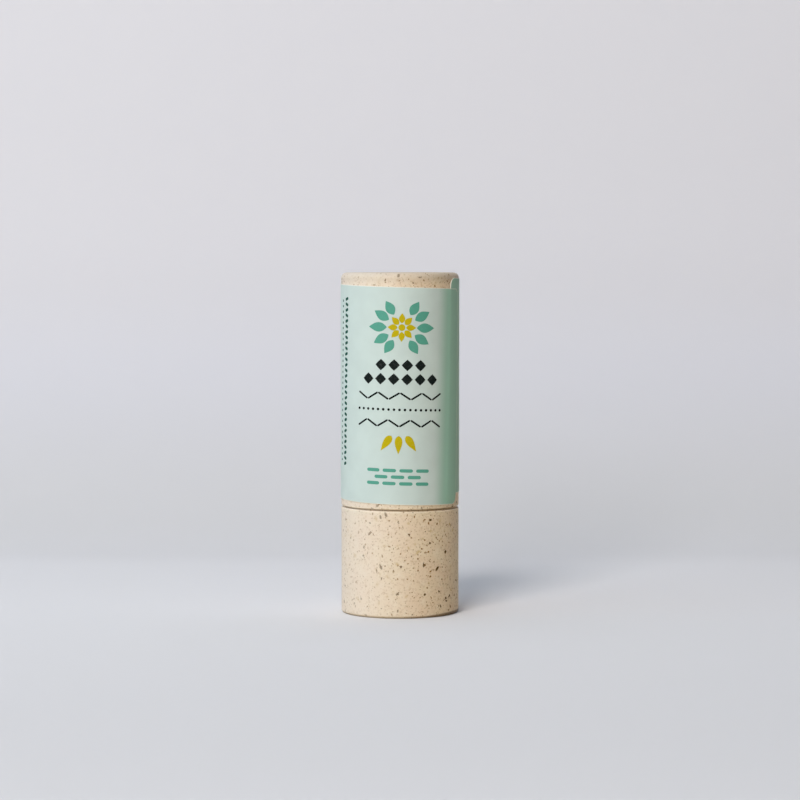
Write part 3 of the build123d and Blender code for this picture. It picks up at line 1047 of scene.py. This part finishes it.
def paper_material(context):
    """Printed label paper: a smooth pale green ground with painted shade at both ends, bare at
    its rim.
    """
    label = context.scene.balm_stick.label
    strip, height, _ = label_facts(context)
    material, g, shader = new_material("mint_paper")
    place = object_place(g)
    sheet = g.node("ShaderNodeAttribute", attribute_name="sheet").outputs["Vector"]
    along, tone = g.split(sheet)[0], label.paper_colour
    ground = g.mix(g.ramp(g.noise(place, 300.0), 0.3, 0.7), dimmed(tone, 0.96), tone)
    # Painted shade: the ground darker and greener at both ends of the strip, which lie on the
    # shaded side.
    reach = label.shade_end + label.shade_fade
    deep = g.math("MAXIMUM", g.ramp(along, reach, label.shade_end),
                  g.ramp(along, strip - reach, strip - label.shade_end))
    ground = g.mix(deep, ground, label.painted_shade_colour)
    fibre, _ = flakes(g, place, Cell=1.3 * MM, Long=0.55 * MM, Wide=0.05 * MM,
                      Amount=0.5, Blur=0.6, Raggedness=0.2, Seed=16.0)
    speck, _ = flakes(g, place, Cell=1.6 * MM, Long=0.09 * MM, Wide=0.07 * MM,
                      Amount=0.4, Blur=0.5, Raggedness=0.3, Seed=17.0)
    for mask, strength in ((fibre, 0.12), (speck, 0.3)):
        ground = g.mix(g.times(mask, strength), ground, label.side_ink)
    inset = g.out("ShaderNodeGroup", {
        "Place": sheet, "Long": strip, "Tall": height, "Corner": label.corner},
        node_tree=strip_border_group())
    fray = g.times(g.noise(place, 2500.0, 2.0, 0.6), label.cut_rim)
    bare_from, bare_full = 1.6 * label.cut_rim, 0.9 * label.cut_rim
    bare = g.ramp(g.plus(inset, fray), bare_from, bare_full, high=0.85)
    ground = g.mix(bare, ground, label.core_colour)
    tooth = g.noise(place, 6500.0, 3.0, 0.6)
    relief = g.plus(g.times(tooth, 0.5), g.times(fibre, 0.3))
    g.fill(shader, {"Base Color": ground, "Roughness": g.ramp(tooth, 0.2, 0.8, 0.6, 0.75),
                    "Normal": bump(g, relief, 0.006 * MM), "Specular IOR Level": 0.25})
    return material


def core_material(context):
    """The paper's cut edge and pasted back: paler, with loose fibres."""
    tone = context.scene.balm_stick.label.core_colour
    material, g, shader = new_material("paper_core")
    fibres = g.noise(object_place(g), 4200.0, 3.0, 0.7)
    g.fill(shader, {"Base Color": g.mix(fibres, dimmed(tone, 0.85), tone), "Roughness": 0.9,
                    "Normal": bump(g, fibres, 0.02 * MM)})
    return material


def ink_material(name, ink):
    """Printing ink: nearly even, with faint mottling and pinholes where the paper shows."""
    material, g, shader = new_material(name)
    mottle = g.noise(object_place(g), 2600.0, 3.0, 0.6)
    paper, shows = 0.6, 0.05
    thin = (*(part + (paper - part) * shows for part in ink[:3]), 1.0)
    g.fill(shader, {"Base Color": g.mix(g.ramp(mottle, 0.5, 0.75), ink, thin),
                    "Roughness": g.ramp(mottle, 0.2, 0.8, 0.55, 0.7),
                    "Normal": bump(g, mottle, 0.004 * MM), "Specular IOR Level": 0.12})
    return material


def moulded_material(name, tone, rough, streak=0.1):
    """Smooth moulded plastic with faint flow streaks up the piece and fine handling marks."""
    material, g, shader = new_material(name)
    place = object_place(g)
    drawn_up, drawn_round = (1.0, 1.0, 0.12), (0.3, 0.3, 6.0)
    flow = g.noise(g.vector("MULTIPLY", place, drawn_up), 900.0, 3.0, 0.6)
    scuff = g.noise(g.vector("MULTIPLY", place, drawn_round), 1200.0, 4.0, 0.7)
    g.fill(shader, {
        "Base Color": g.mix(g.ramp(flow, 0.3, 0.75), tone, dimmed(tone, 1 - streak)),
        "Roughness": g.ramp(scuff, 0.3, 0.8, rough - 0.06, rough + 0.1),
        "Normal": bump(g, g.plus(flow, g.times(scuff, 0.3)), 0.008 * MM)})
    return material


def wax_material(context):
    """Poured balm: a warm, slightly cloudy wax that lets a little light in."""
    tone = context.scene.balm_stick.finish.wax
    material, g, shader = new_material("balm_wax")
    place = object_place(g)
    cloud = g.noise(place, 330.0, 4.0, 0.6)
    bloom = g.noise(place, 2400.0, 3.0, 0.65)
    ground = g.mix(g.ramp(cloud, 0.3, 0.7), dimmed(tone, 0.93, 0.88, 0.74), tone)
    g.fill(shader, {
        "Base Color": ground, "Roughness": g.ramp(bloom, 0.25, 0.8, 0.3, 0.48),
        "Normal": bump(g, g.plus(bloom, g.times(cloud, 2.0)), 0.015 * MM),
        "Subsurface Weight": 0.25, "Subsurface Scale": 1.5 * MM})
    return material


# ---- Pieces inside ----


class BALM_OT_inner_pieces(bpy.types.Operator):
    """Dresses the collar, spiral, tube, cup and brake ring, and turns the balm"""
    bl_idname = "balm_stick.inner_pieces"
    bl_label = "Inner Pieces"

    def execute(self, context):
        finish = context.scene.balm_stick.finish
        inner = moulded_material("inner_moulding", finish.inner, 0.38)
        collar = moulded_material("collar_moulding", finish.collar, 0.34)
        rubber = moulded_material("ring_rubber", finish.rubber, 0.75, streak=0.3)
        for node, material in (("collar_sleeve", collar), ("spiral_sleeve", inner),
                               ("slotted_tube", inner), ("balm_cup", inner),
                               ("brake_ring", rubber)):
            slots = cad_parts[node].data.materials
            slots.clear()
            slots.append(material)
        radius, foot, tip = BALM_HIGH.x, BALM_LOW.z, BALM_HIGH.z
        dome, foot_edge, shoulder_edge, steps = 3.2 * MM, 0.2 * MM, 0.4 * MM, 24
        ball = (radius**2 + dome**2) / (2 * dome)  # the dome's own radius
        spots = [radius * k / steps for k in reversed(range(steps))]
        corners = [((0, foot), 0), ((radius, foot), foot_edge),
                   ((radius, tip - dome), shoulder_edge),
                   *(((x, tip - ball + sqrt(ball**2 - x**2)), 0) for x in spots)]
        mesh = turned("balm", corners, wax_material(context), uneven=2.0, uneven_scale=260.0)
        keep_piece("balm", mesh, "elevator", "balm", "balm_stick")
        return {"FINISHED"}


# ---- Stage ----


def seen_directly(g):
    """1 where the camera, a mirror or glass looks, 0 where light is only passed on."""
    path = g.node("ShaderNodeLightPath").outputs
    return g.math("MAXIMUM", path["Is Camera Ray"],
                  g.math("MAXIMUM", path["Is Glossy Ray"], path["Is Transmission Ray"]))


class BALM_OT_stage(bpy.types.Operator):
    """Sets up the floor, the backdrop, the lights and the camera"""
    bl_idname = "balm_stick.stage"
    bl_label = "Stage"

    def execute(self, context):
        stage = context.scene.balm_stick.stage
        self.floor(stage)
        self.sky(context, stage)
        self.lamp(stage, "key")
        self.lamp(stage, "side")
        self.camera(context, stage)
        context.scene.view_settings.view_transform = "Standard"
        return {"FINISHED"}

    def floor(self, stage):
        """A floor that sweeps up into a backdrop."""
        near, half_width, top, steps = -1.2, 1.0, 1.6, 24
        turns = [pi / 2 * k / steps for k in range(steps + 1)]
        rise = [(stage.floor_depth + stage.sweep_radius * sin(turn),
                 stage.sweep_radius * (1 - cos(turn))) for turn in turns]
        line = [(near, 0.0)] + rise + [(rise[-1][0], top)]
        points = [(x, y, z) for y, z in line for x in (-half_width, half_width)]
        faces = [(2 * k, 2 * k + 1, 2 * k + 3, 2 * k + 2) for k in range(len(line) - 1)]
        mesh = mesh_of("sweep", points, faces=faces)
        mesh.shade_smooth()
        mesh.materials.append(self.sweep_material(stage))
        floor = bpy.data.objects.new("sweep", mesh)
        bpy.context.scene.collection.objects.link(floor)

    def sweep_material(self, stage):
        """The sweep's tone, and the tints that it throws back at the stick.

        Far out it fades into the pale ground, and it can be seen through from behind."""
        material, g, shader = new_material("studio_sweep")
        across, depth, up = g.split(object_place(g))
        near_dim = g.ramp(depth, 20 * MM, -160 * MM, high=stage.floor_dim)
        on_wall, low_down = g.ramp(depth, 70 * MM, 125 * MM), g.ramp(up, 75 * MM, 15 * MM)
        low_dim = g.times(g.times(on_wall, low_down), stage.wall_dim)
        light_share = g.minus(g.minus(1.0, near_dim), low_dim)
        tone = g.mix(g.ramp(up, 0.0, 45 * MM), stage.floor_colour, stage.wall_colour)
        tone = g.mix(light_share, (0.0, 0.0, 0.0, 1.0), tone)
        bounce = g.mix(g.ramp(up, 0.0, 20 * MM), stage.floor_bounce, stage.wall_bounce)
        tone = g.mix(seen_directly(g), bounce, tone)
        g.fill(shader, {"Base Color": tone, "Roughness": 0.9, "Specular IOR Level": 0.1})
        fade_from, fade_to = 0.3, 0.75
        far = g.ramp(g.vector("LENGTH", g.join(across, depth, 0.0)), fade_from, fade_to)
        even = g.out("ShaderNodeEmission", {"Color": stage.sky_colour})
        sweep = g.out("ShaderNodeMixShader", {
            0: g.times(far, seen_directly(g)), 1: shader.outputs[0], 2: even})
        both = g.out("ShaderNodeMixShader", {
            0: g.node("ShaderNodeNewGeometry").outputs["Backfacing"], 1: sweep,
            2: g.out("ShaderNodeBsdfTransparent")})
        g.fill(material.node_tree.nodes["Material Output"], {"Surface": both})
        return material

    def sky(self, context, stage):
        """Even light from all sides, and the pale ground that shows past the floor."""
        world = bpy.data.worlds.new("studio_sky")
        context.scene.world = world
        world.use_nodes = True
        g = Graph(world.node_tree)
        light = world.node_tree.nodes["Background"]
        g.fill(light, {"Color": stage.sky_tint, "Strength": stage.sky_strength})
        seen = g.out("ShaderNodeBackground", {"Color": stage.sky_colour})
        both = g.out("ShaderNodeMixShader", {
            0: seen_directly(g), 1: light.outputs[0], 2: seen})
        g.fill(world.node_tree.nodes["World Output"], {"Surface": both})

    def lamp(self, stage, name):
        """A large soft light aimed at the stick."""
        azimuth, elevation, width, height, watts, tint = (
            getattr(stage, f"{name}_{what}")
            for what in ("azimuth", "elevation", "width", "height", "power", "colour"))
        lamp = bpy.data.lights.new(name, "AREA")
        lamp.shape = "RECTANGLE"
        lamp.size, lamp.size_y = width, height
        lamp.energy = watts
        lamp.color = tint[:3]
        light = bpy.data.objects.new(name, lamp)
        bpy.context.scene.collection.objects.link(light)
        flat = cos(elevation)
        direction = Vector((-sin(azimuth) * flat, -cos(azimuth) * flat, sin(elevation)))
        light.location = Vector((0, 0, CAP_HIGH.z / 2)) + direction * stage.light_distance
        light.rotation_euler = (-direction).to_track_quat("-Z", "Y").to_euler()

    def camera(self, context, stage):
        """The camera, level with the stick's top and looking slightly down."""
        lens = bpy.data.cameras.new("camera")
        lens.sensor_width = SENSOR
        lens.lens = stage.lens
        camera = bpy.data.objects.new("camera", lens)
        context.scene.collection.objects.link(camera)
        camera.location = (0, -stage.camera_distance, stage.camera_height)
        camera.rotation_euler = (pi / 2 - stage.camera_tilt, 0, 0)
        context.scene.camera = camera


# ---- Panel and start ----

STEPS = (BALM_OT_base_shell, BALM_OT_cap_shell, BALM_OT_wrap_label, BALM_OT_label_print,
         BALM_OT_inner_pieces, BALM_OT_stage)


class BALM_PT_stick(bpy.types.Panel):
    """Lists the steps and the settings of the balm stick"""
    bl_idname = "BALM_PT_stick"
    bl_label = "Balm Stick"
    bl_space_type = "VIEW_3D"
    bl_region_type = "UI"
    bl_category = "Balm Stick"

    def draw(self, context):
        settings = context.scene.balm_stick
        for step in STEPS:
            self.layout.operator(step.bl_idname)
        for group in (settings.shell, settings.label, settings.finish, settings.stage):
            box = self.layout.box()
            for name in group.bl_rna.properties.keys():
                if name not in ("rna_type", "name"):
                    box.prop(group, name)


CLASSES = (ShellSettings, LabelSettings, FinishSettings, StageSettings, StickSettings,
           *STEPS, BALM_PT_stick)


def register():
    for each in CLASSES:
        bpy.utils.register_class(each)
    bpy.types.Scene.balm_stick = PointerProperty(type=StickSettings)


def unregister():
    del bpy.types.Scene.balm_stick
    for each in reversed(CLASSES):
        bpy.utils.unregister_class(each)


def main():
    """Builds the whole scene."""
    register()
    bpy.ops.balm_stick.base_shell()
    bpy.ops.balm_stick.cap_shell()
    bpy.ops.balm_stick.wrap_label()
    bpy.ops.balm_stick.label_print()
    bpy.ops.balm_stick.inner_pieces()
    bpy.ops.balm_stick.stage()


if __name__ == "__main__":
    main()
